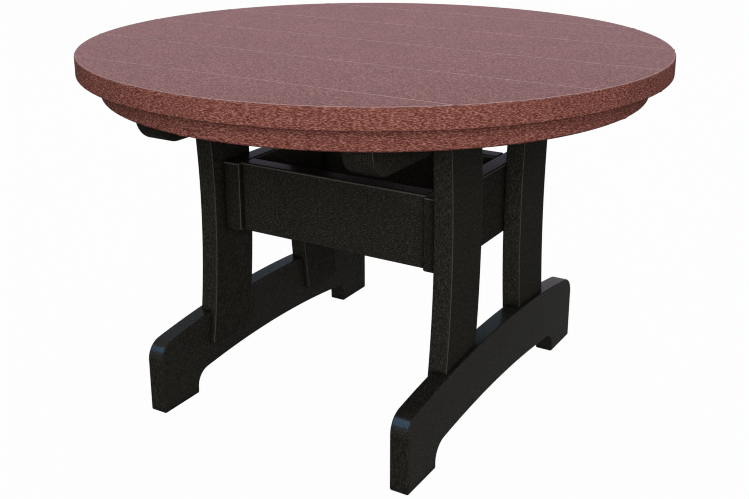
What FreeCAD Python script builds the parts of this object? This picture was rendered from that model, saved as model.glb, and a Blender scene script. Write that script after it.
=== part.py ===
import FreeCAD, Part
import math
import os
from FreeCAD import Placement, Rotation, Vector

# Round coffee table of recycled plastic lumber, in millimetres.
# +Z is up and the floor is z = 0. The slats run along X, and the two leg frames stand at -X and +X.

# Boards of the base
board_thickness = 25.4
board_edge_ease = 2.0

# Top slats
top_diameter = 762.0
top_height = 476.25
top_edge_ease = 2.0
slat_count = 6
slat_thickness = 25.4
slat_pitch = 139.7
slat_gap = 0.4
slat_seam_ease = 0.8

# Rim under the slats
rim_overhang = 28.5
rim_depth = 28.6
rim_width = 25.4
rim_edge_ease = 2.0
rim_segment_count = 4
rim_segment_screws = 3
rim_first_joint = -5.0
rim_joint_gap = 0.3

# Battens across the slats
batten_width = 39.7
batten_height = 70.3
batten_end_round = 32.5
batten_end_gap = 1.2

# Legs: both long edges are arcs about one centre, so the width stays the same
leg_spacing = 330.2
leg_waist_spacing = 200.8
leg_width = 82.0
leg_curve_radius = 1200.0
leg_bottom = 63.5

# Feet: an arched board with a pad at each end, housed out for the legs
foot_length = 508.0
foot_middle_height = 117.5
foot_end_height = 95.25
foot_corner_round = 25.4
pad_length = 69.85
arch_middle_height = 40.6
arch_end_height = 28.7
arch_corner_round = 22.0
leg_proud = 6.35
housing_gap = 0.2

# Apron box between the leg frames
apron_drop = 132.5
apron_height = 96.0
apron_box_width = 225.4
apron_end_proud = 8.0

# Screws, with flat sides that keep the many small pieces light
screw_sides = 6
screw_shank = 4.8
screw_head = 9.5
screw_recess = 2.8
screw_recess_depth = 2.0
screw_gap = 0.15
screw_sink = 0.5
screw_skin = 6.35
batten_screw_grip = 31.75
batten_screw_edge = 10.0
batten_screw_wall = 4.0
rim_screw_bore = 6.35
leg_screw_spacing = 50.8
leg_screw_edge = 14.0
apron_screw_spacing = 50.8
corner_screw_bite = 38.1
foot_screw_spacing = 38.1
foot_screw_bore = 6.35
foot_screw_length = 57.15

# Levels and faces that several pieces share
top_radius = top_diameter / 2
slat_underside = top_height - slat_thickness
slat_seams = [(index - slat_count / 2) * slat_pitch for index in range(1, slat_count)]
slat_limits = [-top_diameter] + slat_seams + [top_diameter]
rim_outer_radius = top_radius - rim_overhang
rim_inner_radius = rim_outer_radius - rim_width
rim_underside = slat_underside - rim_depth
leg_inner = leg_spacing / 2
leg_outer = leg_inner + board_thickness
leg_middle_height = (leg_bottom + slat_underside) / 2
leg_centre_y = leg_waist_spacing / 2 + leg_curve_radius
batten_inner = leg_inner - batten_width
batten_underside = slat_underside - batten_height
batten_end = math.sqrt((rim_inner_radius - batten_end_gap) ** 2 - leg_inner ** 2)
foot_inner = leg_inner + leg_proud
foot_outer = foot_inner + board_thickness
foot_end = foot_length / 2
pad_inner = foot_end - pad_length
apron_top = slat_underside - apron_drop
apron_bottom = apron_top - apron_height
apron_middle_height = (apron_top + apron_bottom) / 2
apron_outer = apron_box_width / 2
apron_inner = apron_outer - board_thickness
apron_end = apron_outer + apron_end_proud
apron_end_inner = leg_inner - board_thickness

sides = {"left": -1, "right": 1}
fronts = {"front": -1, "back": 1}
up = Vector(0, 0, 1)
tiny = 1e-4


# Drawing helpers

def line(a, b):
    return Part.LineSegment(a, b).toShape()


def arc(a, b, c):
    return Part.Arc(a, b, c).toShape()


def face_of(edges):
    return Part.Face(Part.Wire(Part.__sortEdges__(edges)))


def box_between(low, high):
    return Part.makeBox(high.x - low.x, high.y - low.y, high.z - low.z, low)


def mirrored(shape, side, front):
    # A piece drawn at +X, +Y, turned over to its own side and end
    if side < 0:
        shape = shape.mirror(Vector(), Vector(1, 0, 0))
    if front < 0:
        shape = shape.mirror(Vector(), Vector(0, 1, 0))
    return shape


def chosen_edges(shape, wanted):
    # The edges for which wanted(points along the edge) is true
    return [edge for edge in shape.Edges if wanted(edge.discretize(5))]


def rounded(shape, wanted, radius):
    return shape.makeFillet(radius, chosen_edges(shape, wanted))


def eased(shape, wanted, ease):
    return shape.makeChamfer(ease, chosen_edges(shape, wanted))


def in_plane(points, axis, level):
    return all(abs(getattr(point, axis) - level) < tiny for point in points)


def round_profile(radius, low, high, low_ease, high_ease, inner=0.0):
    # Half section, in XZ, of a disc or ring whose outer edge is eased below and above
    points = [Vector(inner, 0, low), Vector(radius - low_ease, 0, low), Vector(radius, 0, low + low_ease)]
    if high_ease:
        points.append(Vector(radius, 0, high - high_ease))
    points += [Vector(radius - high_ease, 0, high), Vector(inner, 0, high)]
    return Part.Face(Part.makePolygon(points + points[:1]))


# Screws: a list of placements for each group, all with the head at the placement's origin

def flat_sided(rings):
    # A solid through coaxial polygons along Z, each given by its height and the radius to its flats
    angles = [2 * math.pi * (side + 0.5) / screw_sides for side in range(screw_sides)]
    corners = []
    for height, radius in rings:
        reach = radius / math.cos(math.pi / screw_sides)
        corners.append([Vector(reach * math.cos(a), reach * math.sin(a), height) for a in angles])
    outlines = [corners[0], corners[-1]]
    for low, high in zip(corners, corners[1:]):
        outlines += [[low[i - 1], low[i], high[i], high[i - 1]] for i in range(screw_sides)]
    faces = [Part.Face(Part.makePolygon(outline + outline[:1])) for outline in outlines]
    return Part.makeSolid(Part.makeShell(faces))


def screw_section(length, gap=0.0, bore=0.0):
    # A countersunk screw along Z, or its hole with a gap; bore runs the hole out past the head
    head = screw_head / 2 + gap
    shank = screw_shank / 2 + gap
    rings = [(-bore, head), (0, head)] if bore else [(0, head)]
    rings += [(head - shank, shank), (length + gap, shank)]
    return flat_sided(rings)


def screw_body(length):
    corner = Vector(-screw_recess / 2, -screw_recess / 2, 0)
    recess = Part.makeBox(screw_recess, screw_recess, screw_recess_depth, corner)
    return screw_section(length).cut(recess)


class ScrewGroup:
    def __init__(self, length, bore=screw_head):
        self.body = screw_body(length)
        self.hole = screw_section(length, screw_gap, bore)
        self.places = []

    def drive(self, position, direction):
        self.places.append(Placement(position, Rotation(up, direction)))

    def bodies(self):
        return Part.makeCompound([self.placed(self.body, place) for place in self.places])

    def holes(self):
        return [self.placed(self.hole, place) for place in self.places]

    def placed(self, shape, place):
        copy = shape.copy()
        copy.Placement = place
        return copy


def leg_edge(height, offset):
    # Y of the leg's edge (offset is half its width, inwards negative) at a height
    radius = leg_curve_radius - offset
    return leg_centre_y - math.sqrt(radius ** 2 - (height - leg_middle_height) ** 2)


def arch_height(y):
    # Height of the arch under a foot: the circle through its middle and its two ends
    rise = arch_middle_height - arch_end_height
    radius = (pad_inner ** 2 + rise ** 2) / (2 * rise)
    return arch_middle_height - radius + math.sqrt(radius ** 2 - y ** 2)


def batten_screws():
    group = ScrewGroup(batten_screw_grip + slat_thickness - screw_skin, batten_height)
    x = batten_inner + batten_screw_edge
    limit = batten_end - batten_end_round / 2
    for index in range(2 * slat_count):
        y = (index + 0.5 - slat_count) * slat_pitch / 2
        if abs(y) < limit:
            for side in sides.values():
                group.drive(Vector(side * x, y, slat_underside - batten_screw_grip), up)
    return group


def rim_screws():
    group = ScrewGroup(rim_depth - rim_screw_bore + slat_thickness - screw_skin)
    radius = (rim_outer_radius + rim_inner_radius) / 2
    step = 360 / rim_segment_count / rim_segment_screws
    for index in range(rim_segment_count * rim_segment_screws):
        angle = math.radians(rim_first_joint + (index + 0.5) * step)
        place = Vector(radius * math.cos(angle), radius * math.sin(angle), rim_underside + rim_screw_bore)
        group.drive(place, up)
    return group


def leg_screws():
    bite = batten_width - batten_screw_edge - screw_head / 2 - batten_screw_wall
    group = ScrewGroup(board_thickness - screw_sink + bite)
    height = (slat_underside + batten_underside) / 2
    middle = leg_edge(height, 0)
    for side in sides.values():
        for front in fronts.values():
            for shift in (-leg_screw_spacing / 2, leg_screw_spacing / 2):
                place = Vector(side * (leg_outer - screw_sink), front * (middle + shift), height)
                group.drive(place, Vector(-side, 0, 0))
    return group


def apron_leg_screws():
    group = ScrewGroup(board_thickness - screw_sink + board_thickness - screw_skin)
    for side in sides.values():
        for front in fronts.values():
            for shift in (-apron_screw_spacing / 2, apron_screw_spacing / 2):
                height = apron_middle_height + shift
                y = leg_edge(height, -leg_width / 2) + leg_screw_edge
                place = Vector(side * (apron_end_inner + screw_sink), front * y, height)
                group.drive(place, Vector(side, 0, 0))
    return group


def apron_corner_screws():
    group = ScrewGroup(board_thickness - screw_sink + corner_screw_bite)
    y = (apron_outer + apron_inner) / 2
    for side in sides.values():
        for front in fronts.values():
            for shift in (-apron_screw_spacing / 2, apron_screw_spacing / 2):
                place = Vector(side * (leg_inner - screw_sink), front * y, apron_middle_height + shift)
                group.drive(place, Vector(-side, 0, 0))
    return group


def foot_screws():
    group = ScrewGroup(foot_screw_length, leg_bottom)
    x = (foot_inner + leg_outer) / 2
    middle = leg_edge(leg_bottom, 0)
    for side in sides.values():
        for front in fronts.values():
            for shift in (-foot_screw_spacing / 2, foot_screw_spacing / 2):
                y = middle + shift
                group.drive(Vector(side * x, front * y, arch_height(y) + foot_screw_bore), up)
    return group


# Boards

def slat_block(index):
    # One straight board with eased seams; the round top cuts its ends, and the outermost boards' sides
    low = Vector(-top_diameter, slat_limits[index] + slat_gap / 2, slat_underside)
    high = Vector(top_diameter, slat_limits[index + 1] - slat_gap / 2, top_height)
    block = box_between(low, high)
    return eased(block, lambda points: in_plane(points, "z", top_height)
                 and abs(points[0].x - points[-1].x) > top_diameter, slat_seam_ease)


def top_round():
    profile = round_profile(top_radius, slat_underside, top_height, top_edge_ease, top_edge_ease)
    return profile.revolve(Vector(), up, 360)


def rim_segment(index):
    profile = round_profile(rim_outer_radius, rim_underside, slat_underside,
                            rim_edge_ease, 0, rim_inner_radius)
    gap = math.degrees(rim_joint_gap / rim_outer_radius)
    sweep = 360 / rim_segment_count
    segment = profile.revolve(Vector(), up, sweep - gap)
    segment.rotate(Vector(), up, rim_first_joint + index * sweep + gap / 2)
    return segment


def batten():
    end, low, high = batten_end, batten_underside, slat_underside
    corners = [Vector(batten_inner, y, z) for y, z in ((-end, low), (end, low), (end, high), (-end, high))]
    block = Part.Face(Part.makePolygon(corners + corners[:1])).extrude(Vector(batten_width, 0, 0))
    block = rounded(block, lambda points: in_plane(points, "z", low)
                    and abs(points[0].x - points[-1].x) > tiny, batten_end_round)
    return eased(block, lambda points: not in_plane(points, "z", high)
                 and (in_plane(points, "x", batten_inner) or in_plane(points, "x", leg_inner)),
                 board_edge_ease)


def leg_blank(spare=0.0, depth=board_thickness, top=slat_underside):
    # A leg board, or with spare width the space that a foot is housed out for
    half = leg_width / 2 + spare
    heights = (leg_bottom, (leg_bottom + top) / 2, top)
    inner = [Vector(leg_inner, leg_edge(z, -half), z) for z in heights]
    outer = [Vector(leg_inner, leg_edge(z, half), z) for z in heights]
    profile = face_of([arc(*inner), arc(*outer), line(inner[0], outer[0]), line(inner[2], outer[2])])
    return profile.extrude(Vector(depth, 0, 0))


def leg():
    return eased(leg_blank(), lambda points: abs(points[0].z - points[-1].z) > leg_width, board_edge_ease)


def foot():
    def at(y, z):
        return Vector(foot_inner, y, z)

    edges = [arc(at(-foot_end, foot_end_height), at(0, foot_middle_height), at(foot_end, foot_end_height)),
             arc(at(-pad_inner, arch_end_height), at(0, arch_middle_height), at(pad_inner, arch_end_height))]
    for end in fronts.values():
        edges.append(line(at(end * foot_end, 0), at(end * foot_end, foot_end_height)))
        edges.append(line(at(end * pad_inner, 0), at(end * pad_inner, arch_end_height)))
        edges.append(line(at(end * pad_inner, 0), at(end * foot_end, 0)))
    block = face_of(edges).extrude(Vector(board_thickness, 0, 0))

    def corner_at(y, z):
        return lambda points: (abs(points[0].x - points[-1].x) > tiny and abs(abs(points[0].y) - y) < tiny
                               and abs(points[0].z - z) < tiny)

    block = rounded(block, corner_at(foot_end, foot_end_height), foot_corner_round)
    arch_round = min(arch_corner_round, 0.8 * arch_end_height)
    block = rounded(block, corner_at(pad_inner, arch_end_height), arch_round)
    block = eased(block, lambda points: in_plane(points, "x", foot_inner)
                  or in_plane(points, "x", foot_outer), board_edge_ease)
    housing = leg_blank(housing_gap, top=2 * foot_middle_height)
    return block.cut([mirrored(housing, 1, front) for front in fronts.values()])


def long_apron():
    block = box_between(Vector(-apron_end_inner, apron_inner, apron_bottom),
                        Vector(apron_end_inner, apron_outer, apron_top))
    return eased(block, lambda points: abs(points[0].x - points[-1].x) > apron_end_inner, board_edge_ease)


def apron_end_board():
    block = box_between(Vector(apron_end_inner, -apron_end, apron_bottom),
                        Vector(leg_inner, apron_end, apron_top))
    return eased(block, lambda points: in_plane(points, "x", apron_end_inner)
                 or in_plane(points, "x", leg_inner), board_edge_ease)


# Assembly: each board is cut for the screws that enter it

into_slats = batten_screws()
into_rim = rim_screws()
into_battens = leg_screws()
into_legs = apron_leg_screws()
into_aprons = apron_corner_screws()
into_leg_ends = foot_screws()
nodes = {}

round_top = top_round()
slat_holes = into_slats.holes() + into_rim.holes()
for index in range(slat_count):
    nodes["top_slat_%d" % (index + 1)] = slat_block(index).common(round_top).cut(slat_holes)

for index in range(rim_segment_count):
    nodes["rim_segment_%d" % (index + 1)] = rim_segment(index).cut(into_rim.holes())

for side_name, side in sides.items():
    nodes[side_name + "_batten"] = mirrored(batten(), side, 1).cut(into_slats.holes() + into_battens.holes())
    nodes[side_name + "_foot"] = mirrored(foot(), side, 1).cut(into_leg_ends.holes())
    nodes[side_name + "_apron_end"] = mirrored(apron_end_board(), side, 1).cut(
        into_legs.holes() + into_aprons.holes())
    for front_name, front in fronts.items():
        nodes["%s_%s_leg" % (side_name, front_name)] = mirrored(leg(), side, front).cut(
            into_battens.holes() + into_legs.holes() + into_leg_ends.holes())

for front_name, front in fronts.items():
    nodes[front_name + "_apron"] = mirrored(long_apron(), 1, front).cut(into_aprons.holes())

nodes["batten_to_slat_screws"] = into_slats.bodies()
nodes["rim_screws"] = into_rim.bodies()
nodes["leg_to_batten_screws"] = into_battens.bodies()
nodes["apron_to_leg_screws"] = into_legs.bodies()
nodes["apron_corner_screws"] = into_aprons.bodies()
nodes["foot_to_leg_screws"] = into_leg_ends.bodies()

os.makedirs("parts", exist_ok=True)
for name, shape in nodes.items():
    solids = shape.Solids
    piece = solids[0] if len(solids) == 1 else Part.makeCompound(solids)
    piece.exportStep("parts/%s.step" % name)
    volume = shape.Volume / 1000
    print("%-24s %3d solid  %9.1f cm3  valid %s" % (name, len(solids), volume, piece.isValid()))
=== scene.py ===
from math import cos, pi, radians, sin, sqrt

import bpy
import numpy as np
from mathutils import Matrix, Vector


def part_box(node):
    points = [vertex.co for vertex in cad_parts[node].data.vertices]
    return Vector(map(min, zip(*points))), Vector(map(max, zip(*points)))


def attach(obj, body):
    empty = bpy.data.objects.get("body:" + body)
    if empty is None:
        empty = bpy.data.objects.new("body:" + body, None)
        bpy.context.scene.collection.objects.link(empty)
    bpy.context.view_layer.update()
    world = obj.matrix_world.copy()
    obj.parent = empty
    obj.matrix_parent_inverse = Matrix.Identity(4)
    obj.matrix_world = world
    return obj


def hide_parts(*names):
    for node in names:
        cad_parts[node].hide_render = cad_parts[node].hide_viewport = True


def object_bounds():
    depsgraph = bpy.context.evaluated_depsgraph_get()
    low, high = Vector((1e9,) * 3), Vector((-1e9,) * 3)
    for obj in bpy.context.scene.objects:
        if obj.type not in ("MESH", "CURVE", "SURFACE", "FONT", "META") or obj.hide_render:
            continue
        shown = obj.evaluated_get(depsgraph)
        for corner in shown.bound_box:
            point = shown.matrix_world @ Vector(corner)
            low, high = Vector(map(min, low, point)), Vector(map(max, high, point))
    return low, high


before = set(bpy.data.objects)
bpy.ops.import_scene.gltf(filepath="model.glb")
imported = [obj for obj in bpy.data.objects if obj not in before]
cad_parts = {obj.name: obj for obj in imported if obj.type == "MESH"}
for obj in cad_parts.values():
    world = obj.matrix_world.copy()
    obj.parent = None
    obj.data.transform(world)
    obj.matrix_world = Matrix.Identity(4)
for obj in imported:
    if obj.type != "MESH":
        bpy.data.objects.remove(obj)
cadBox = [list(corner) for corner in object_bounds()]
print("frame loaded:", len(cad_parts), "nodes")

# Sizes are in metres, +Z is up and the floor is z = 0


# Shader maths

class Wire:
    # a socket that takes part in sums: every operator adds one Math node
    def __init__(self, tree, socket=None):
        self.tree = tree
        self.socket = socket

    def node(self, kind, settings, inputs, output=0):
        # any other node: its settings first, then the values or links of its sockets
        made = self.tree.nodes.new("ShaderNode" + kind)
        for name, value in settings.items():
            if name == "stops":
                setStops(made.color_ramp, value)
            else:
                setattr(made, name, value)
        for name, value in inputs.items():
            if isinstance(value, Wire):
                self.tree.links.new(value.socket, made.inputs[name])
            else:
                made.inputs[name].default_value = value
        return Wire(self.tree, made.outputs[output] if made.outputs else None)

    def maths(self, operation, first, second, clamp=False):
        return self.node("Math", {"operation": operation, "use_clamp": clamp}, {0: first, 1: second})

    def __add__(self, other):
        return self.maths("ADD", self, other)

    def __sub__(self, other):
        return self.maths("SUBTRACT", self, other)

    def __rsub__(self, other):
        return self.maths("SUBTRACT", other, self)

    def __mul__(self, other):
        return self.maths("MULTIPLY", self, other)

    __radd__ = __add__
    __rmul__ = __mul__

    def larger(self, other):
        return self.maths("MAXIMUM", self, other)

    def clamped(self):
        return self.maths("ADD", self, 0.0, clamp=True)

    def size(self):
        return self.maths("ABSOLUTE", self, 0.0)

    def above(self, limit):
        return self.maths("GREATER_THAN", self, limit)


def setStops(ramp, stops):
    while len(ramp.elements) < len(stops):
        ramp.elements.new(1.0)
    for element, (place, colour) in zip(ramp.elements, stops):
        element.position = place
        element.color = (*colour, 1.0)


def colourMix(sheet, share, first, second):
    # socket 0 is the factor, 6 and 7 the two colours, output 2 the mixed colour
    return sheet.node("Mix", {"data_type": "RGBA"}, {0: share, 6: first, 7: second}, 2)


def vectorMix(sheet, share, first, second):
    # sockets 4 and 5 are the two vectors, output 1 the mixed vector
    return sheet.node("Mix", {"data_type": "VECTOR"}, {0: share, 4: first, 5: second}, 1)


def newMaterial(name):
    material = bpy.data.materials.new(name)
    material.use_nodes = True
    material.node_tree.nodes.clear()
    return material, Wire(material.node_tree)


def surfaceOutput(sheet, shader):
    sheet.node("OutputMaterial", {"target": "ALL"}, {"Surface": shader})


print("shader tools ready")


# Finishes

# for each lumber: colours of the flecks and of the lighter edges, partly wear and partly painted highlight;
# contrast of the flecks on upright faces, on level faces and on broad sides; painted shade on level faces,
# on cut ends, under edges and in corners; sizes of the flecks; gloss and relief
mahogany = {
    "dark": (0.090, 0.025, 0.019), "colour": (0.176, 0.0560, 0.0440), "light": (0.450, 0.200, 0.165),
    "wornHighlight": (0.62, 0.48, 0.50),
    "contrast": 3.4, "levelContrast": 2.2, "broadContrast": 3.3,
    "levelShade": 1.0, "underShade": 0.45, "cornerShade": 0.35, "cornerReach": 0.012,
    "fleckLength": 0.0034, "fleckWidth": 0.0007, "levelLength": 0.0019, "levelWidth": 0.0018,
    "roughness": 0.50, "roughnessSpread": 0.20, "edgeRoughness": 0.44, "gloss": 0.0005,
    "coat": 0.41, "edgeCoat": 0.0, "coatRoughness": 0.18, "relief": 0.0012, "reliefStrength": 1.0,
}
black = {
    "dark": (0.0085, 0.0080, 0.0065), "colour": (0.0166, 0.0157, 0.0128), "light": (0.072, 0.068, 0.056),
    "wornHighlight": (0.150, 0.142, 0.125),
    "contrast": 1.9, "levelContrast": 1.9, "broadContrast": 1.6,
    "levelShade": 0.6, "endShade": 0.8, "underShade": 0.30, "cornerShade": 0.9, "cornerReach": 0.014,
    "fleckLength": 0.0034, "fleckWidth": 0.0008, "levelLength": 0.0028, "levelWidth": 0.0010,
    "roughness": 0.32, "roughnessSpread": 0.25, "edgeRoughness": 0.25, "gloss": 0.0005,
    "coat": 0.34, "edgeCoat": 0.01, "coatRoughness": 0.22, "relief": 0.0012, "reliefStrength": 1.0,
}
footBlack = dict(black, gloss=0.004, coat=0.40, broadContrast=1.7)
# what all lumber shares: the part of a normal from which a face counts as level or as a cut end, and as a
# broad side; the noise of the flecks and of the slow change of tone; and between which rises of the normal
# edges turn from painted shade to the lighter mark of wear and painted highlight, and faces get coated
lumberForm = {
    "levelFrom": 0.75, "broadFrom": 0.9, "fleckDetail": 2.0, "fleckRoughness": 0.7,
    "toneScale": 14.0, "toneDetail": 2.0, "toneSpread": 0.24,
    "wearAndShadeRise": (-0.25, 0.0), "coatRise": (0.1, 0.5), "cornerSamples": 8,
}
steel = {
    "colour": (0.58, 0.57, 0.55), "roughness": 0.30, "roughnessSpread": 0.25, "brushLength": 0.0012,
    "brushWidth": 0.00015, "brushDetail": 2.0, "relief": 0.00005, "reliefStrength": 0.2,
}


def grainScale(along, length, width):
    # one fleck per unit of the noise: long along the grain, short across it
    return tuple(1 / (length if axis in along else width) for axis in "xyz")


def risen(value, start, end):
    # 0 up to start, 1 from end on, and straight between them
    return ((value - start) * (1 / (end - start))).clamped()


def lumber(name, finish, along, levelAlong, endAxis=None):
    # embossed plastic lumber: noise stretched along the grain drives colour, gloss and relief;
    # rounded edges and upper faces are rubbed smooth
    form = lumberForm
    material, sheet = newMaterial(name)
    place = sheet.node("TexCoord", {}, {}, "Object")
    normal = sheet.node("NewGeometry", {}, {}, "Normal")
    facing = {axis: sheet.node("SeparateXYZ", {}, {0: normal}, axis.upper()) for axis in "xyz"}
    upward = facing["z"]
    edge = sheet.node("Attribute", {"attribute_name": "edge"}, {}, "Fac")
    wear = sheet.node("Attribute", {"attribute_name": "wear"}, {}, "Fac")
    # level faces have their own grain direction and fleck size, and cut ends have upright flecks
    level = upward.size().above(form["levelFrom"])
    scale = vectorMix(sheet, level,
                      grainScale(along, finish["fleckLength"], finish["fleckWidth"]),
                      grainScale(levelAlong, finish["levelLength"], finish["levelWidth"]))
    # painted shade: level faces are darkened by levelShade
    shade = 1.0 - level * (1.0 - finish["levelShade"])
    if endAxis:
        cutEnd = facing[endAxis].size().above(form["levelFrom"])
        endScale = grainScale("z", finish["fleckLength"], finish["fleckWidth"])
        scale = vectorMix(sheet, cutEnd, scale, endScale)
        # painted shade: cut ends are darkened by endShade
        shade = shade * (1.0 - cutEnd * (1.0 - finish["endShade"]))
    grain = sheet.node("VectorMath", {"operation": "MULTIPLY"}, {0: place, 1: scale})
    mark = sheet.node("TexNoise", {}, {"Vector": grain, "Scale": 1.0, "Detail": form["fleckDetail"],
                                       "Roughness": form["fleckRoughness"]})
    tone = sheet.node("TexNoise", {}, {"Vector": place, "Scale": form["toneScale"],
                                       "Detail": form["toneDetail"]})
    # painted shade: the colour of edges that face down is darkened
    seen = risen(upward, *form["wearAndShadeRise"])
    shade = shade * (1.0 - edge * (1.0 - seen) * finish["underShade"])
    # painted shade: the colour is darkened by ambient occlusion where boards meet in a corner
    clear = sheet.node("AmbientOcclusion", {"samples": form["cornerSamples"]},
                       {"Distance": finish["cornerReach"]}, "AO")
    shade = shade * (1.0 - (1.0 - clear) * finish["cornerShade"])
    # the broad sides of the base's boards face along X; the fleck contrast on level faces and on these sides
    # is painted light, standing in for the glints and shading that lamps give the faces
    broad = facing["x"].size().above(form["broadFrom"])
    contrast = (level * (finish["levelContrast"] - finish["contrast"])
                + broad * (finish["broadContrast"] - finish["contrast"])
                + finish["contrast"])
    lifted = ((mark - 0.5) * contrast + 0.5).clamped()
    ramp = sheet.node("ValToRGB", {"stops": [(0.0, finish["dark"]), (0.5, finish["colour"]),
                                             (1.0, finish["light"])]}, {0: lifted})
    brightness = ((tone - 0.5) * form["toneSpread"] + 1.0) * shade
    shaded = sheet.node("HueSaturation", {}, {"Value": brightness, "Color": ramp})
    # the other edges are painted lighter, partly wear and partly painted highlight, and they are rubbed
    # smooth as upper faces are
    colour = colourMix(sheet, (wear * seen).clamped(), shaded, (*finish["wornHighlight"], 1.0))
    polish = edge * seen
    plainRough = finish["roughness"] + (0.5 - mark) * finish["roughnessSpread"]
    rough = (plainRough + polish * (finish["edgeRoughness"] - plainRough)).clamped()
    bump = sheet.node("Bump", {}, {"Strength": finish["reliefStrength"], "Distance": finish["relief"],
                                   "Height": mark})
    coated = risen(upward, *form["coatRise"]) * (1.0 - edge) * finish["coat"] + polish * finish["edgeCoat"]
    shader = sheet.node("BsdfPrincipled", {}, {"Base Color": colour, "Roughness": rough, "Normal": bump,
                                               "Specular IOR Level": finish["gloss"],
                                               "Coat Weight": coated * (mark + 0.5),
                                               "Coat Roughness": finish["coatRoughness"]})
    surfaceOutput(sheet, shader)
    return material


def brushedSteel(name, finish):
    # fine scratches along X change the gloss and the relief
    material, sheet = newMaterial(name)
    place = sheet.node("TexCoord", {}, {}, "Object")
    brush = sheet.node("VectorMath", {"operation": "MULTIPLY"},
                       {0: place, 1: grainScale("x", finish["brushLength"], finish["brushWidth"])})
    scratch = sheet.node("TexNoise", {}, {"Vector": brush, "Scale": 1.0, "Detail": finish["brushDetail"]})
    rough = finish["roughness"] + (scratch - 0.5) * finish["roughnessSpread"]
    bump = sheet.node("Bump", {}, {"Strength": finish["reliefStrength"], "Distance": finish["relief"],
                                   "Height": scratch})
    shader = sheet.node("BsdfPrincipled", {}, {"Base Color": (*finish["colour"], 1.0), "Metallic": 1.0,
                                               "Roughness": rough, "Normal": bump})
    surfaceOutput(sheet, shader)
    return material


topLumber = lumber("mahogany top boards", mahogany, "xy", "x")
rimLumber = lumber("mahogany rim boards", mahogany, "xy", "xy")
blackLumber = {axis: lumber("black boards along " + axis, black, axis, axis, axis) for axis in "xyz"}
footLumber = lumber("black feet", footBlack, "y", "y", "y")
screwSteel = brushedSteel("stainless screws", steel)
print("finishes ready")


# Mesh tools

def unit(vector):
    return vector / np.linalg.norm(vector)


def arcPoints(centre, radius, start, end, steps):
    # points at centre + radius (cos a, sin a), a running evenly from start to end
    angle = np.linspace(start, end, steps + 1)
    return np.asarray(centre) + radius * np.stack([np.cos(angle), np.sin(angle)], 1)


def cornerArc(before, at, after, radius, steps=6):
    # the arc that touches both lines meeting at a corner: its centre lies radius / sin(half angle)
    # along the bisector
    before, at, after = np.array(before), np.array(at), np.array(after)
    back, ahead = unit(before - at), unit(after - at)
    half = np.arccos(np.clip(back @ ahead, -1, 1)) / 2
    centre = at + unit(back + ahead) * radius / np.sin(half)
    first, last = (at + way * radius / np.tan(half) - centre for way in (back, ahead))
    start, end = np.arctan2(first[1], first[0]), np.arctan2(last[1], last[0])
    sweep = (end - start + pi) % (2 * pi) - pi
    return arcPoints(centre, radius, start, start + sweep, steps)


def roundedPolygon(corners, radius, steps=6):
    # each corner of a closed outline becomes an arc
    count = len(corners)
    return np.vstack([cornerArc(corners[i - 1], corners[i], corners[(i + 1) % count], radius, steps)
                      for i in range(count)])


def ridgeMarks(steps=6):
    # marks for the four arcs of a rounded rectangle, with a from 0 to pi over each: sin a for the rounding,
    # and for its wear and painted highlight sin 2a on the half of the arc that lies beside an upright side
    angle = np.linspace(0, pi, steps + 1)
    wornHighlight = np.clip(np.sin(2 * angle), 0, 1)
    return np.tile(np.sin(angle), 4), np.tile(np.concatenate([wornHighlight, wornHighlight[::-1]]), 2)


def outlineNormals(outline):
    # outward normals of a counterclockwise outline: the tangent across each point, turned by a quarter
    tangent = np.roll(outline, -1, 0) - np.roll(outline, 1, 0)
    tangent /= np.linalg.norm(tangent, axis=1, keepdims=True)
    return np.stack([tangent[:, 1], -tangent[:, 0]], 1)


def ringFaces(rings, count):
    # quads between neighbouring rings of count points each
    ring, step = np.meshgrid(np.arange(rings - 1), np.arange(count), indexing="ij")
    follow = (step + 1) % count
    below, above = ring * count, (ring + 1) * count
    corners = [below + step, below + follow, above + follow, above + step]
    return np.stack(corners, -1).reshape(-1, 4).tolist()


def boardMesh(outline, low, high, roundLow, roundHigh, wear=0.0, ridge=(0.0, 0.0), steps=4):
    # an outline carried from low to high; at both ends a quarter circle of radius r turns the side into
    # the face: inset r (1 - sin a) and depth r (1 - cos a), with a from 0 at the face to pi / 2 at the side.
    # The third result marks the rounded edges with sin 2a, largest halfway round, and their wear and painted
    # highlight with sin 4a, largest beside the face and gone halfway round; ridge marks rounded corners of
    # the outline too
    normals = outlineNormals(outline)
    angle = np.linspace(0, pi / 2, steps + 1)[:, None]
    count = len(outline)
    roundLow, roundHigh = np.broadcast_to(roundLow, count), np.broadcast_to(roundHigh, count)
    across, depth = 1 - np.sin(angle), 1 - np.cos(angle)
    inset = np.vstack([roundLow * across, (roundHigh * across)[::-1]])
    level = np.vstack([low + roundLow * depth, (high - roundHigh * depth)[::-1]])
    flat = outline[None] - inset[..., None] * normals[None]
    points = np.concatenate([flat, level[..., None]], 2).reshape(-1, 3)
    rings = 2 * (steps + 1)
    last = (rings - 1) * count
    faces = ringFaces(rings, count) + [list(range(count))[::-1], list(range(last, last + count))]
    rubbed, wornHighlight = np.sin(2 * angle), np.clip(np.sin(4 * angle), 0, 1)
    rise = np.sin(angle)
    edge, line = (np.vstack([mark, mark[::-1]])
                  for mark in (np.maximum(rubbed, rise * ridge[0]), np.maximum(wornHighlight, rise * ridge[1])))
    return points, faces, {"edge": np.broadcast_to(edge, inset.shape).ravel(),
                           "wear": (np.broadcast_to(line, inset.shape) * wear).ravel()}


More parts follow.
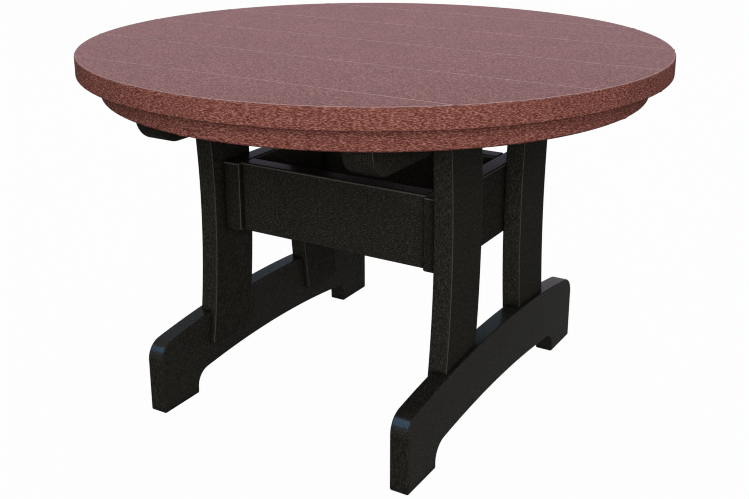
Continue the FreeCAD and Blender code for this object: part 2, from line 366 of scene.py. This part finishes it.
def turnedMesh(radius, height):
    # a profile turned about an axis: row i lies at height[i] with radius[i, j] at angle 2 pi j / count;
    # the first and last rows are closed to one point each
    rows, count = radius.shape
    angle = 2 * pi * np.arange(count) / count
    level = np.broadcast_to(np.asarray(height)[:, None], radius.shape)
    grid = np.stack([radius * np.cos(angle), radius * np.sin(angle), level], 2).reshape(-1, 3)
    points = np.vstack([grid, [[0, 0, height[0]], [0, 0, height[-1]]]])
    near, far = rows * count, rows * count + 1
    start = (rows - 1) * count
    fans = [[near, (j + 1) % count, j] for j in range(count)]
    fans += [[far, start + j, start + (j + 1) % count] for j in range(count)]
    return points, ringFaces(rows, count) + fans


def joined(meshes):
    # several closed meshes as one
    points, faces, base = [], [], 0
    for part, partFaces in meshes:
        points.append(part)
        faces += [[base + index for index in face] for face in partFaces]
        base += len(part)
    return np.vstack(points), faces


def standing(mesh):
    # a drawing in (y, z) with its depth along x
    points, *rest = mesh
    return (points[:, [2, 0, 1]], *rest)


def newObject(name, mesh):
    # a piece at the origin, with the marks of its edges as attributes where it has them
    points, faces, *marks = mesh
    data = bpy.data.meshes.new(name)
    data.from_pydata(points.tolist(), [], faces)
    for mark, values in (marks[0] if marks else {}).items():
        data.attributes.new(mark, "FLOAT", "POINT").data.foreach_set("value", values.astype(np.float32))
    data.update()
    piece = bpy.data.objects.new(name, data)
    bpy.context.scene.collection.objects.link(piece)
    return piece


def cutAway(piece, cutter):
    # takes the cutter's closed shapes out of the piece
    tool = newObject(piece.name + "Cutter", cutter)
    change = piece.modifiers.new("cut", "BOOLEAN")
    change.operation, change.solver, change.object = "DIFFERENCE", "EXACT", tool
    shaped = piece.evaluated_get(bpy.context.evaluated_depsgraph_get())
    result = bpy.data.meshes.new_from_object(shaped)
    piece.modifiers.clear()
    old, piece.data = piece.data, result
    bpy.data.objects.remove(tool)
    bpy.data.meshes.remove(old)
    result.name = piece.name


smoothing = {"sharpAngle": radians(35), "faceWeight": 100}


def finishPiece(piece, material, slot, *nodes):
    # smooth rounded edges, flat faces: every piece stands for its CAD nodes and rides on the one body
    data = piece.data
    data.materials.clear()
    data.materials.append(material)
    data.polygons.foreach_set("use_smooth", np.ones(len(data.polygons), bool))
    data.set_sharp_from_angle(angle=smoothing["sharpAngle"])
    weighted = piece.modifiers.new("flat faces", "WEIGHTED_NORMAL")
    weighted.keep_sharp = True
    weighted.weight = smoothing["faceWeight"]
    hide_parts(*nodes)
    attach(piece, "root")
    return piece


# Screws: countersunk, with a square recess and a thread; a hole is the same profile with a gap

screwForm = {
    "shank": 0.0048, "head": 0.0095, "headLand": 0.0003, "recess": 0.0028, "recessDepth": 0.002,
    "threadDepth": 0.0006, "threadPitch": 0.0024, "threadRows": 6, "threadLead": 0.0002,
    "tip": 0.006, "tipRows": 5, "tipStart": 0.05, "tipBlunt": 0.12,
    "gap": 0.00015, "sides": 24, "sink": 0.0005,
}


def screwMesh(length):
    # rows from the recess floor out over the head, down the cone and along a shank whose radius follows
    # core + depth |1 - 2 frac(h / pitch - angle / 2 pi)|, to a point
    form = screwForm
    angle = 2 * pi * np.arange(form["sides"]) / form["sides"]
    square = form["recess"] / 2 / np.maximum(np.abs(np.cos(angle)), np.abs(np.sin(angle)))
    head, shank = form["head"] / 2, form["shank"] / 2
    coneEnd = form["headLand"] + head - shank
    threadStart = coneEnd + form["threadPitch"]
    run = np.arange(threadStart, length - form["tip"], form["threadPitch"] / form["threadRows"])
    turn = (run[:, None] / form["threadPitch"] - angle / (2 * pi)) % 1.0
    ridge = shank - form["threadDepth"] * (1 - np.abs(1 - 2 * turn))
    taper = np.linspace(1, form["tipBlunt"], form["tipRows"])[:, None]
    tipHeight = length - form["tip"] + form["tip"] * np.linspace(form["tipStart"], 1, form["tipRows"])
    plain = np.ones((1, form["sides"]))
    radius = np.vstack([square[None], square[None], head * plain, head * plain, shank * plain,
                        shank * plain, ridge, (shank - form["threadDepth"]) * taper * plain])
    plainHeight = [form["recessDepth"], 0, 0, form["headLand"], coneEnd, threadStart - form["threadLead"]]
    height = np.concatenate([plainHeight, run, tipHeight])
    return turnedMesh(radius, height)


def holeMesh(length, bore):
    # room for a screw: a bore above the head, the cone and the shank
    form = screwForm
    head, shank = form["head"] / 2 + form["gap"], form["shank"] / 2 + form["gap"]
    plain = np.ones(form["sides"])
    radius = np.outer([head, head, shank, shank], plain)
    coneStart = form["headLand"]
    return turnedMesh(radius, [-bore, coneStart, coneStart + head - shank, length + form["gap"]])


def driven(mesh, place, direction):
    # turns a screw or hole from +Z to its own direction (+Z, +X or -X) and puts its head at place
    points, faces = mesh
    x, y, z = points.T
    turned = {"up": (x, y, z), "right": (z, x, y), "left": (-z, y, x)}[direction]
    return np.stack(turned, 1) + np.asarray(place), faces


class ScrewGroup:
    # screws of one length: where they go, their bodies and the holes for them
    def __init__(self, name, node, length, bore):
        self.name, self.node, self.length, self.bore = name, node, length, bore
        self.places = []

    def drive(self, place, direction):
        self.places.append((place, direction))

    def bodies(self):
        return joined([driven(screwMesh(self.length), *spot) for spot in self.places])

    def holes(self):
        return [driven(holeMesh(self.length, self.bore), *spot) for spot in self.places]


def touching(holes, node, margin=0.002):
    # the holes whose boxes reach into a node's box
    low, high = (np.array(corner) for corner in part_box(node))
    return [hole for hole in holes
            if (hole[0].max(0) > low + margin).all() and (hole[0].min(0) < high - margin).all()]


# Shapes shared by boards and screws

# wear sets the lighter mark on the edges: wear and painted highlight
legForm = {
    "waistSpacing": 0.2008, "width": 0.082, "curveRadius": 1.2, "edgeRound": 0.0026, "endRound": 0.0028,
    "wear": 0.45,
}
footForm = {
    "middleHeight": 0.1175, "endHeight": 0.09525, "cornerRound": 0.0254, "padLength": 0.06985,
    "archMiddle": 0.0406, "archEnd": 0.0287, "archRound": 0.022, "edgeRound": 0.0026, "floorRound": 0.003,
    "housingGap": 0.0002, "housingReach": 0.01,
}

legLow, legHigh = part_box("right_back_leg")
footLow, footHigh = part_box("right_foot")
battenLow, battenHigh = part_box("right_batten")
apronEndLow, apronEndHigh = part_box("right_apron_end")
apronLow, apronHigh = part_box("back_apron")
slatUnderside = legHigh.z
legMiddle = (legLow.z + legHigh.z) / 2
padInner = footHigh.y - footForm["padLength"]


def legEdge(z, offset):
    # y of the leg's edge: a circle of radius curveRadius - offset about a centre far behind the leg
    radius = legForm["curveRadius"] - offset
    centre = legForm["waistSpacing"] / 2 + legForm["curveRadius"]
    return centre - np.sqrt(radius ** 2 - (z - legMiddle) ** 2)


def bowCircle(halfWidth, middle, end):
    # centre height and radius of the circle through the middle and both ends of a bow
    rise = middle - end
    radius = (halfWidth ** 2 + rise ** 2) / (2 * rise)
    return middle - radius, radius


def bowPath(halfWidth, middle, end, cornerRound, steps=48, cornerSteps=10):
    # a bow from left to right whose corners are arcs that touch it from inside
    # and the upright lines beside it
    centre, radius = bowCircle(halfWidth, middle, end)
    cornerY = halfWidth - cornerRound
    cornerZ = centre + sqrt((radius - cornerRound) ** 2 - cornerY ** 2)
    lean = np.arctan2(cornerZ - centre, cornerY)
    right = arcPoints((cornerY, cornerZ), cornerRound, lean, 0, cornerSteps)
    bow = arcPoints((0, centre), radius, pi - lean, lean, steps)
    left = right[::-1] * [-1, 1]
    return np.vstack([left, bow[1:-1], right])


def legOutline(spare=0.0, top=None, endRound=None, steps=28):
    # both long edges are arcs about one centre; spare widens it to the housing in a foot
    half = legForm["width"] / 2 + spare
    top = slatUnderside if top is None else top
    z = np.linspace(legLow.z, top, steps + 1)
    inner = np.stack([legEdge(z, -half), z], 1)
    outer = np.stack([legEdge(z, half), z], 1)
    if endRound is None:
        return np.vstack([inner[:1], outer, inner[:0:-1]])
    corners = ((inner[1], inner[0], outer[0]), (inner[0], outer[0], outer[1]),
               (outer[-2], outer[-1], inner[-1]), (outer[-1], inner[-1], inner[-2]))
    ends = [cornerArc(*corner, endRound) for corner in corners]
    return np.vstack([ends[0], ends[1], outer[1:-1], ends[2], ends[3], inner[-2:0:-1]])


def faced(outline, front):
    # turns an outline drawn at +Y over to the front, still counterclockwise
    return outline if front > 0 else (outline * [-1, 1])[::-1]


sides = {"left": -1, "right": 1}
fronts = {"Front": -1, "Back": 1}


# Where the screws go

# skin is left beyond a screw's point; bore and battenBore are how far a hole is cut back from the head,
# rimBore and footBore how deep a head is sunk
plan = {
    "skin": 0.00635, "slatThickness": 0.0254, "board": 0.0254, "bore": 0.01,
    "battenGrip": 0.03175, "battenEdge": 0.010, "battenWall": 0.004, "battenSpacing": 0.06985,
    "battenCount": 8, "battenBore": 0.07,
    "rimRadius": 0.3398, "rimStart": 10.0, "rimStep": 30.0, "rimCount": 12, "rimBore": 0.00635,
    "rimDepth": 0.0286,
    "legSpacing": 0.0508, "legEdge": 0.014, "apronSpacing": 0.0508, "cornerBite": 0.0381,
    "footSpacing": 0.0381, "footBore": 0.00635, "footLength": 0.05715,
}

battenScrews = ScrewGroup("battenScrews", "batten_to_slat_screws",
                          plan["battenGrip"] + plan["slatThickness"] - plan["skin"], plan["battenBore"])
for rank in range(plan["battenCount"]):
    y = (rank - (plan["battenCount"] - 1) / 2) * plan["battenSpacing"]
    for side in sides.values():
        x = side * (battenLow.x + plan["battenEdge"])
        battenScrews.drive((x, y, slatUnderside - plan["battenGrip"]), "up")

rimScrews = ScrewGroup("rimScrews", "rim_screws",
                       plan["rimDepth"] - plan["rimBore"] + plan["slatThickness"] - plan["skin"],
                       plan["bore"])
for rank in range(plan["rimCount"]):
    turn = radians(plan["rimStart"] + rank * plan["rimStep"])
    rimScrews.drive((plan["rimRadius"] * np.cos(turn), plan["rimRadius"] * np.sin(turn),
                     slatUnderside - plan["rimDepth"] + plan["rimBore"]), "up")

battenBite = battenHigh.x - battenLow.x - plan["battenEdge"] - screwForm["head"] / 2 - plan["battenWall"]
legScrews = ScrewGroup("legScrews", "leg_to_batten_screws",
                       plan["board"] - screwForm["sink"] + battenBite, plan["bore"])
apronLegScrews = ScrewGroup("apronLegScrews", "apron_to_leg_screws",
                            2 * plan["board"] - screwForm["sink"] - plan["skin"], plan["bore"])
apronCornerScrews = ScrewGroup("apronCornerScrews", "apron_corner_screws",
                               plan["board"] - screwForm["sink"] + plan["cornerBite"], plan["bore"])
footScrews = ScrewGroup("footScrews", "foot_to_leg_screws", plan["footLength"], legLow.z)
archCentre, archRadius = bowCircle(padInner, footForm["archMiddle"], footForm["archEnd"])
for side in sides.values():
    outwards, inwards = ("right", "left") if side > 0 else ("left", "right")
    for front in fronts.values():
        for shift in (-0.5, 0.5):
            z = (battenLow.z + battenHigh.z) / 2
            y = legEdge(z, 0) + shift * plan["legSpacing"]
            legScrews.drive((side * (legHigh.x - screwForm["sink"]), front * y, z), inwards)
            z = (apronLow.z + apronHigh.z) / 2 + shift * plan["apronSpacing"]
            y = legEdge(z, -legForm["width"] / 2) + plan["legEdge"]
            apronLegScrews.drive((side * (apronEndLow.x + screwForm["sink"]), front * y, z), outwards)
            y = (apronLow.y + apronHigh.y) / 2
            apronCornerScrews.drive((side * (apronEndHigh.x - screwForm["sink"]), front * y, z), inwards)
            y = legEdge(legLow.z, 0) + shift * plan["footSpacing"]
            z = archCentre + sqrt(archRadius ** 2 - y ** 2) + plan["footBore"]
            footScrews.drive((side * (footLow.x + legHigh.x) / 2, front * y, z), "up")

screwGroups = (battenScrews, rimScrews, legScrews, apronLegScrews, apronCornerScrews, footScrews)
for group in screwGroups:
    finishPiece(newObject(group.name, group.bodies()), screwSteel, "screws", group.node)
print("screws:", sum(len(group.places) for group in screwGroups))


def board(name, node, mesh, material, slot, groups, spaces=()):
    # one board with the screw holes and housings that reach into it
    piece = newObject(name, mesh)
    holes = [hole for group in groups for hole in touching(group.holes(), node)]
    for space in spaces:
        cutAway(piece, space)
    if holes:
        cutAway(piece, joined(holes))
    return finishPiece(piece, material, slot, node)


# Top: six boards cut to one round

topForm = {
    "slats": 6, "pitch": 0.1397, "seam": 0.00006, "edgeRound": 0.0024, "lowRound": 0.0019,
    "seamRound": 0.0011, "cornerRound": 0.0003, "cornerEase": 0.00025, "blend": 0.003,
    "pointedBlend": 0.006, "seamWearHighlight": 0.82, "edgeWearHighlight": 0.52,
}
topRadius = cadBox[1][0]


def slatOutline(low, high, radius, blend, steps=96, cornerSteps=5, seamSteps=4):
    # a strip between y = low and y = high cut by a circle, for high > 0; a strip that reaches past the
    # circle ends in one arc. Returns the outline, how far each point lies from the nearest corner, and
    # which points lie on a seam
    corner = topForm["cornerRound"]
    lowCentre = np.array([sqrt((radius - corner) ** 2 - (low + corner) ** 2), low + corner])
    lowLean = np.arctan2(lowCentre[1], lowCentre[0])
    lowArc = arcPoints(lowCentre, corner, -pi / 2, lowLean, cornerSteps)
    away = blend * np.linspace(1, 0, seamSteps + 1)[:-1]
    lowSeam = np.stack([lowCentre[0] - away, np.full(seamSteps, low)], 1)
    if high < radius:
        highCentre = np.array([sqrt((radius - corner) ** 2 - (high - corner) ** 2), high - corner])
        highLean = np.arctan2(highCentre[1], highCentre[0])
        highArc = arcPoints(highCentre, corner, highLean, pi / 2, cornerSteps)
        highSeam = np.stack([highCentre[0] - away[::-1], np.full(seamSteps, high)], 1)
    else:
        highLean, highArc, highSeam = pi / 2, np.zeros((0, 2)), np.zeros((0, 2))
    angle = lowLean + (highLean - lowLean) * ((1 - np.cos(np.linspace(0, pi, steps + 1))) / 2)[1:-1]
    rim = radius * np.stack([np.cos(angle), np.sin(angle)], 1)
    ends = np.minimum(angle - lowLean, highLean - angle if len(highArc) else angle - lowLean)
    right = np.vstack([lowSeam, lowArc, rim, highArc, highSeam])
    reach = np.concatenate([away, np.zeros(len(lowArc)), radius * ends, np.zeros(len(highArc)),
                            away[::-1][:len(highSeam)]])
    onSeam = np.repeat([1.0, 0.0, 1.0], [seamSteps, len(lowArc) + len(rim) + len(highArc), len(highSeam)])
    return (np.vstack([right, right[::-1] * [-1, 1]]), np.concatenate([reach, reach[::-1]]),
            np.concatenate([onSeam, onSeam[::-1]]))


def smoothStep(share):
    # 3 s^2 - 2 s^3, from 0 to 1 with level ends
    share = np.clip(share, 0, 1)
    return share * share * (3 - 2 * share)


for index in range(topForm["slats"]):
    node = "top_slat_%d" % (index + 1)
    low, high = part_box(node)
    lowSeam, highSeam = (round(edge / topForm["pitch"]) * topForm["pitch"] for edge in (low.y, high.y))
    lowSeam, highSeam = lowSeam + topForm["seam"] / 2, highSeam - topForm["seam"] / 2
    blend = topForm["pointedBlend" if index in (0, topForm["slats"] - 1) else "blend"]
    if highSeam > -lowSeam:
        outline, reach, onSeam = slatOutline(lowSeam, highSeam, topRadius, blend)
    else:
        outline, reach, onSeam = slatOutline(-highSeam, -lowSeam, topRadius, blend)
        outline, reach, onSeam = (outline * [1, -1])[::-1], reach[::-1], onSeam[::-1]
    # the rounding grows from the small corner's to the seam's or the round edge's over a short blend,
    # which is longer on the outermost boards because their corners are pointed
    grown = smoothStep(reach / blend)
    rounds = topForm["edgeRound"] + (topForm["seamRound"] - topForm["edgeRound"]) * onSeam
    rounds = topForm["cornerEase"] + (rounds - topForm["cornerEase"]) * grown
    # the seams and the round edge get the lighter mark of wear and painted highlight
    wear = topForm["edgeWearHighlight"] + (topForm["seamWearHighlight"] - topForm["edgeWearHighlight"]) * onSeam
    lowRounds = np.minimum(rounds, topForm["lowRound"])
    mesh = boardMesh(outline, low.z, high.z, lowRounds, rounds, wear)
    board("topSlat%d" % (index + 1), node, mesh, topLumber, "top_lumber", (battenScrews, rimScrews))
print("top slats:", topForm["slats"])


# Rim: four curved boards under the top

rimForm = {
    "segments": 4, "outer": 0.3525, "inner": 0.3271, "firstJoint": -5.0, "jointGap": 0.00006,
    "lowRound": 0.0024, "highRound": 0.0006, "endRound": 0.0003, "endEase": 0.00025, "blend": 0.005,
}


def rimOutline(start, end, steps=80):
    # an arc out, an arc back, and small arcs at the four corners
    angle = start + (end - start) * (1 - np.cos(np.linspace(0, pi, steps + 1))) / 2
    way = np.stack([np.cos(angle), np.sin(angle)], 1)
    outer, inner = rimForm["outer"] * way, rimForm["inner"] * way[::-1]
    skip = 7    # points this near to a corner give way to its arc
    corners = ((inner[-1], outer[0], outer[skip - 1]), (outer[-skip], outer[-1], inner[0]),
               (outer[-1], inner[0], inner[skip - 1]), (inner[-skip], inner[-1], outer[0]))
    ends = [cornerArc(*corner, rimForm["endRound"]) for corner in corners]
    body = slice(skip, -skip)
    return np.vstack([ends[0], outer[body], ends[1], ends[2], inner[body], ends[3]])


quarter = 2 * pi / rimForm["segments"]
gap = rimForm["jointGap"] / rimForm["outer"]
for index in range(rimForm["segments"]):
    node = "rim_segment_%d" % (index + 1)
    low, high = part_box(node)
    start = radians(rimForm["firstJoint"]) + quarter * index + gap / 2
    outline = rimOutline(start, start + quarter - gap)
    # as on the slats, the rounding grows from the joint over a short blend
    along = (np.arctan2(outline[:, 1], outline[:, 0]) - start) % (2 * pi)
    reach = rimForm["outer"] * np.minimum(along, quarter - gap - along)
    grown = smoothStep(reach / rimForm["blend"])
    lowRounds, highRounds = (rimForm["endEase"] + (rimForm[name] - rimForm["endEase"]) * grown
                             for name in ("lowRound", "highRound"))
    board("rimQuarter%d" % (index + 1), node, boardMesh(outline, low.z, high.z, lowRounds, highRounds),
          rimLumber, "top_lumber", (rimScrews,))
print("rim quarters:", rimForm["segments"])


# Battens, legs, feet and the apron box

# wear sets the lighter mark on the edges: wear and painted highlight
battenForm = {"endRound": 0.0325, "edgeRound": 0.0026, "topRound": 0.0028, "wear": 0.45}
apronForm = {"edgeRound": 0.0026, "cornerRound": 0.0028, "endEase": 0.002, "wear": 0.55}


def battenOutline(end, low, high, steps=12):
    # a bar whose lower corners are large arcs
    large, small = battenForm["endRound"], battenForm["topRound"]
    corners = [(-end, low), (end, low), (end, high), (-end, high)]
    sizes = [large, large, small, small]
    return np.vstack([cornerArc(corners[i - 1], corners[i], corners[(i + 1) % 4], sizes[i], steps)
                      for i in range(4)])


def footOutline():
    # flat pads, the arch between them, upright ends and the bowed top
    end, inner, r = footHigh.y, padInner, footForm["floorRound"]
    arch = bowPath(inner, footForm["archMiddle"], footForm["archEnd"], footForm["archRound"])
    top = bowPath(end, footForm["middleHeight"], footForm["endHeight"], footForm["cornerRound"])
    corners = [(-end, footForm["endHeight"]), (-end, 0.0), (-inner, 0.0), (-inner, footForm["archEnd"])]
    leftPad = np.vstack([cornerArc(*corners[:3], r), cornerArc(*corners[1:], r)])
    rightPad = leftPad[::-1] * [-1, 1]
    return np.vstack([leftPad, arch, rightPad, top[::-1]])


def rectangle(lowY, highY, lowZ, highZ):
    # four corners in (y, z), counterclockwise
    return [(lowY, lowZ), (highY, lowZ), (highY, highZ), (lowY, highZ)]


def housing(side, front):
    # the space in a foot for a leg, a little wider than the leg and open above
    outline = faced(legOutline(footForm["housingGap"], top=2 * footForm["middleHeight"]), front)
    outer = legHigh.x + footForm["housingGap"]
    low, high = sorted((side * (footLow.x - footForm["housingReach"]), side * outer))
    return standing(boardMesh(outline, low, high, 0.0, 0.0, steps=0))


for sideName, side in sides.items():
    node = sideName + "_batten"
    low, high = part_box(node)
    outline = battenOutline(high.y, low.z, high.z)
    mesh = standing(boardMesh(outline, low.x, high.x, battenForm["edgeRound"], battenForm["edgeRound"],
                              battenForm["wear"]))
    board(sideName + "Batten", node, mesh, blackLumber["y"], "base_lumber", (battenScrews, legScrews))

    node = sideName + "_foot"
    low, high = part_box(node)
    mesh = standing(boardMesh(footOutline(), low.x, high.x, footForm["edgeRound"], footForm["edgeRound"]))
    board(sideName + "Foot", node, mesh, footLumber, "base_lumber", (footScrews,),
          [housing(side, front) for front in fronts.values()])

    node = sideName + "_apron_end"
    low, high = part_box(node)
    outline = roundedPolygon(rectangle(low.y, high.y, low.z, high.z), apronForm["cornerRound"])
    mesh = standing(boardMesh(outline, low.x, high.x, apronForm["edgeRound"], apronForm["edgeRound"],
                              apronForm["wear"], ridgeMarks()))
    board(sideName + "ApronEnd", node, mesh, blackLumber["y"], "base_lumber",
          (apronLegScrews, apronCornerScrews))

    for frontName, front in fronts.items():
        node = "%s_%s_leg" % (sideName, frontName.lower())
        low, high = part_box(node)
        outline = faced(legOutline(endRound=legForm["endRound"]), front)
        mesh = standing(boardMesh(outline, low.x, high.x, legForm["edgeRound"], legForm["edgeRound"],
                                  legForm["wear"]))
        board(sideName + frontName + "Leg", node, mesh, blackLumber["z"], "base_lumber",
              (legScrews, apronLegScrews, footScrews))

for frontName in fronts:
    node = frontName.lower() + "_apron"
    low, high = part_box(node)
    outline = roundedPolygon(rectangle(low.y, high.y, low.z, high.z), apronForm["cornerRound"])
    mesh = standing(boardMesh(outline, low.x, high.x, apronForm["endEase"], apronForm["endEase"],
                              apronForm["wear"], ridgeMarks()))
    board(frontName.lower() + "Apron", node, mesh, blackLumber["x"], "base_lumber", (apronCornerScrews,))
print("base boards ready")


# Floor, light and camera

floorForm = {"size": 60.0, "colour": (0.25, 0.25, 0.25), "white": 0.98}


def rayMark(sheet, *kinds):
    # 1 for the kinds of ray that are named, such as those to the camera, off gloss or through glass
    rays = [sheet.node("LightPath", {}, {}, "Is %s Ray" % kind) for kind in kinds]
    mark = rays[0]
    for ray in rays[1:]:
        mark = mark.larger(ray)
    return mark


def paleFloor():
    # white to the camera, in gloss and through glass, with a little of the object's shadow,
    # and grey to the other rays
    material, sheet = newMaterial("pale floor")
    seen = rayMark(sheet, "Camera", "Glossy", "Transmission") * floorForm["white"]
    matte = sheet.node("BsdfDiffuse", {}, {"Color": (*floorForm["colour"], 1.0)})
    glow = sheet.node("Emission", {}, {"Color": (1.0, 1.0, 1.0, 1.0), "Strength": 1.0})
    surfaceOutput(sheet, sheet.node("MixShader", {}, {0: seen, 1: matte, 2: glow}))
    half = floorForm["size"] / 2
    corners = np.array([(-half, -half, 0), (half, -half, 0), (half, half, 0), (-half, half, 0)])
    floor = newObject("floor", (corners, [[0, 1, 2, 3]]))
    floor.data.materials.append(material)


lightForm = {
    "frontSky": [(0.0, (0.06, 0.06, 0.06)), (0.3, (0.10, 0.10, 0.10)), (1.0, (0.78, 0.78, 0.78))],
    "backSky": [(0.0, (0.26, 0.22, 0.27)), (0.235, (1.0, 0.85, 1.0)), (0.28, (0.12, 0.28, 0.41)),
                (1.0, (0.78, 0.78, 0.78))],
    "lamps": {
        "key": {"azimuth": -57, "elevation": 19, "distance": 3.4, "width": 1.3, "height": 2.0,
                "power": 91.0, "colour": (1.0, 0.98, 0.95), "lights": "matte"},
        "backFill": {"azimuth": 122, "elevation": 40, "distance": 3.4, "width": 2.0, "height": 2.0,
                     "power": 60.0, "colour": (1.0, 1.0, 1.0), "lights": "matte"},
        "coolCard": {"azimuth": -120, "elevation": 35, "distance": 3.2, "width": 2.2, "height": 2.2,
                     "power": 58.0, "colour": (0.20, 0.51, 0.92), "lights": "gloss",
                     "reaches": ("leftFoot", "rightFoot")},
    },
    # the share of the back's sky is backMiddle at the sides and grows by backSlope along +Y
    "backSlope": 0.9, "backMiddle": 0.5,
    "background": (0.98, 0.98, 0.98),
    "target": (0.0, 0.0, 0.25),
}


def softSky():
    # matte surfaces are lit by a sky that is brighter at the back, gloss shows the back's sky on every
    # side, and above the floor the background is as white as the floor
    world = bpy.data.worlds.new("soft sky")
    bpy.context.scene.world = world
    world.use_nodes = True
    world.node_tree.nodes.clear()
    sheet = Wire(world.node_tree)
    way = sheet.node("TexCoord", {}, {}, "Generated")
    height = sheet.node("SeparateXYZ", {}, {0: way}, 2)
    ahead = sheet.node("SeparateXYZ", {}, {0: way}, 1)
    back = (ahead * lightForm["backSlope"] + lightForm["backMiddle"]).clamped()
    front, rear = (sheet.node("ValToRGB", {"stops": lightForm[name]}, {0: height})
                   for name in ("frontSky", "backSky"))
    lit = colourMix(sheet, back.larger(rayMark(sheet, "Glossy")), front, rear)
    sky = colourMix(sheet, rayMark(sheet, "Camera", "Transmission"), lit, (*lightForm["background"], 1.0))
    glow = sheet.node("Background", {}, {"Color": sky, "Strength": 1.0})
    sheet.node("OutputWorld", {"target": "ALL"}, {"Surface": glow})


def softBox(name, form):
    # a soft lamp on a sphere about the target, at azimuth and elevation in degrees; it lights matte
    # surfaces or gloss, and a lamp that reaches only some pieces is linked to these
    turn, climb = radians(form["azimuth"]), radians(form["elevation"])
    way = Vector((cos(climb) * cos(turn), cos(climb) * sin(turn), sin(climb)))
    lamp = bpy.data.lights.new(name, "AREA")
    lamp.shape, lamp.size, lamp.size_y = "ELLIPSE", form["width"], form["height"]
    lamp.energy, lamp.color = form["power"], form["colour"]
    holder = bpy.data.objects.new(name, lamp)
    holder.location = Vector(lightForm["target"]) + way * form["distance"]
    holder.rotation_euler = way.to_track_quat("Z", "Y").to_euler()
    holder.visible_camera = False
    holder.visible_diffuse = form["lights"] != "gloss"
    holder.visible_glossy = form["lights"] != "matte"
    if "reaches" in form:
        lit = bpy.data.collections.new("lit by " + name)
        for pieceName in form["reaches"]:
            lit.objects.link(bpy.data.objects[pieceName])
        holder.light_linking.receiver_collection = lit
    bpy.context.scene.collection.objects.link(holder)


cameraForm = {
    "place": (0.708435, -1.180769, 0.707623), "pitch": 17.599, "yaw": 30.980,
    "imageWidth": 749, "imageHeight": 499, "focalPixels": 1055.496, "centreX": 374.698, "centreY": 190.575,
    "sensor": 36.0, "clipEnd": 100.0, "pixelFilter": 1.1,
}


def placeCamera():
    # focal length and shift from pixels of the picture: the view axis meets it at (centreX, centreY)
    form = cameraForm
    lens = bpy.data.cameras.new("camera")
    lens.sensor_width = form["sensor"]
    lens.lens = form["focalPixels"] / form["imageWidth"] * form["sensor"]
    lens.shift_x = (form["imageWidth"] / 2 - form["centreX"]) / form["imageWidth"]
    lens.shift_y = (form["centreY"] - form["imageHeight"] / 2) / form["imageWidth"]
    lens.clip_end = form["clipEnd"]
    holder = bpy.data.objects.new("camera", lens)
    holder.location = form["place"]
    holder.rotation_euler = (radians(90 - form["pitch"]), 0, radians(form["yaw"]))
    bpy.context.scene.collection.objects.link(holder)
    bpy.context.scene.camera = holder


paleFloor()
softSky()
for lampName, lampForm in lightForm["lamps"].items():
    softBox(lampName, lampForm)
placeCamera()
bpy.context.scene.view_settings.view_transform = "Standard"
bpy.context.scene.cycles.filter_width = cameraForm["pixelFilter"]
print("floor, light and camera ready")
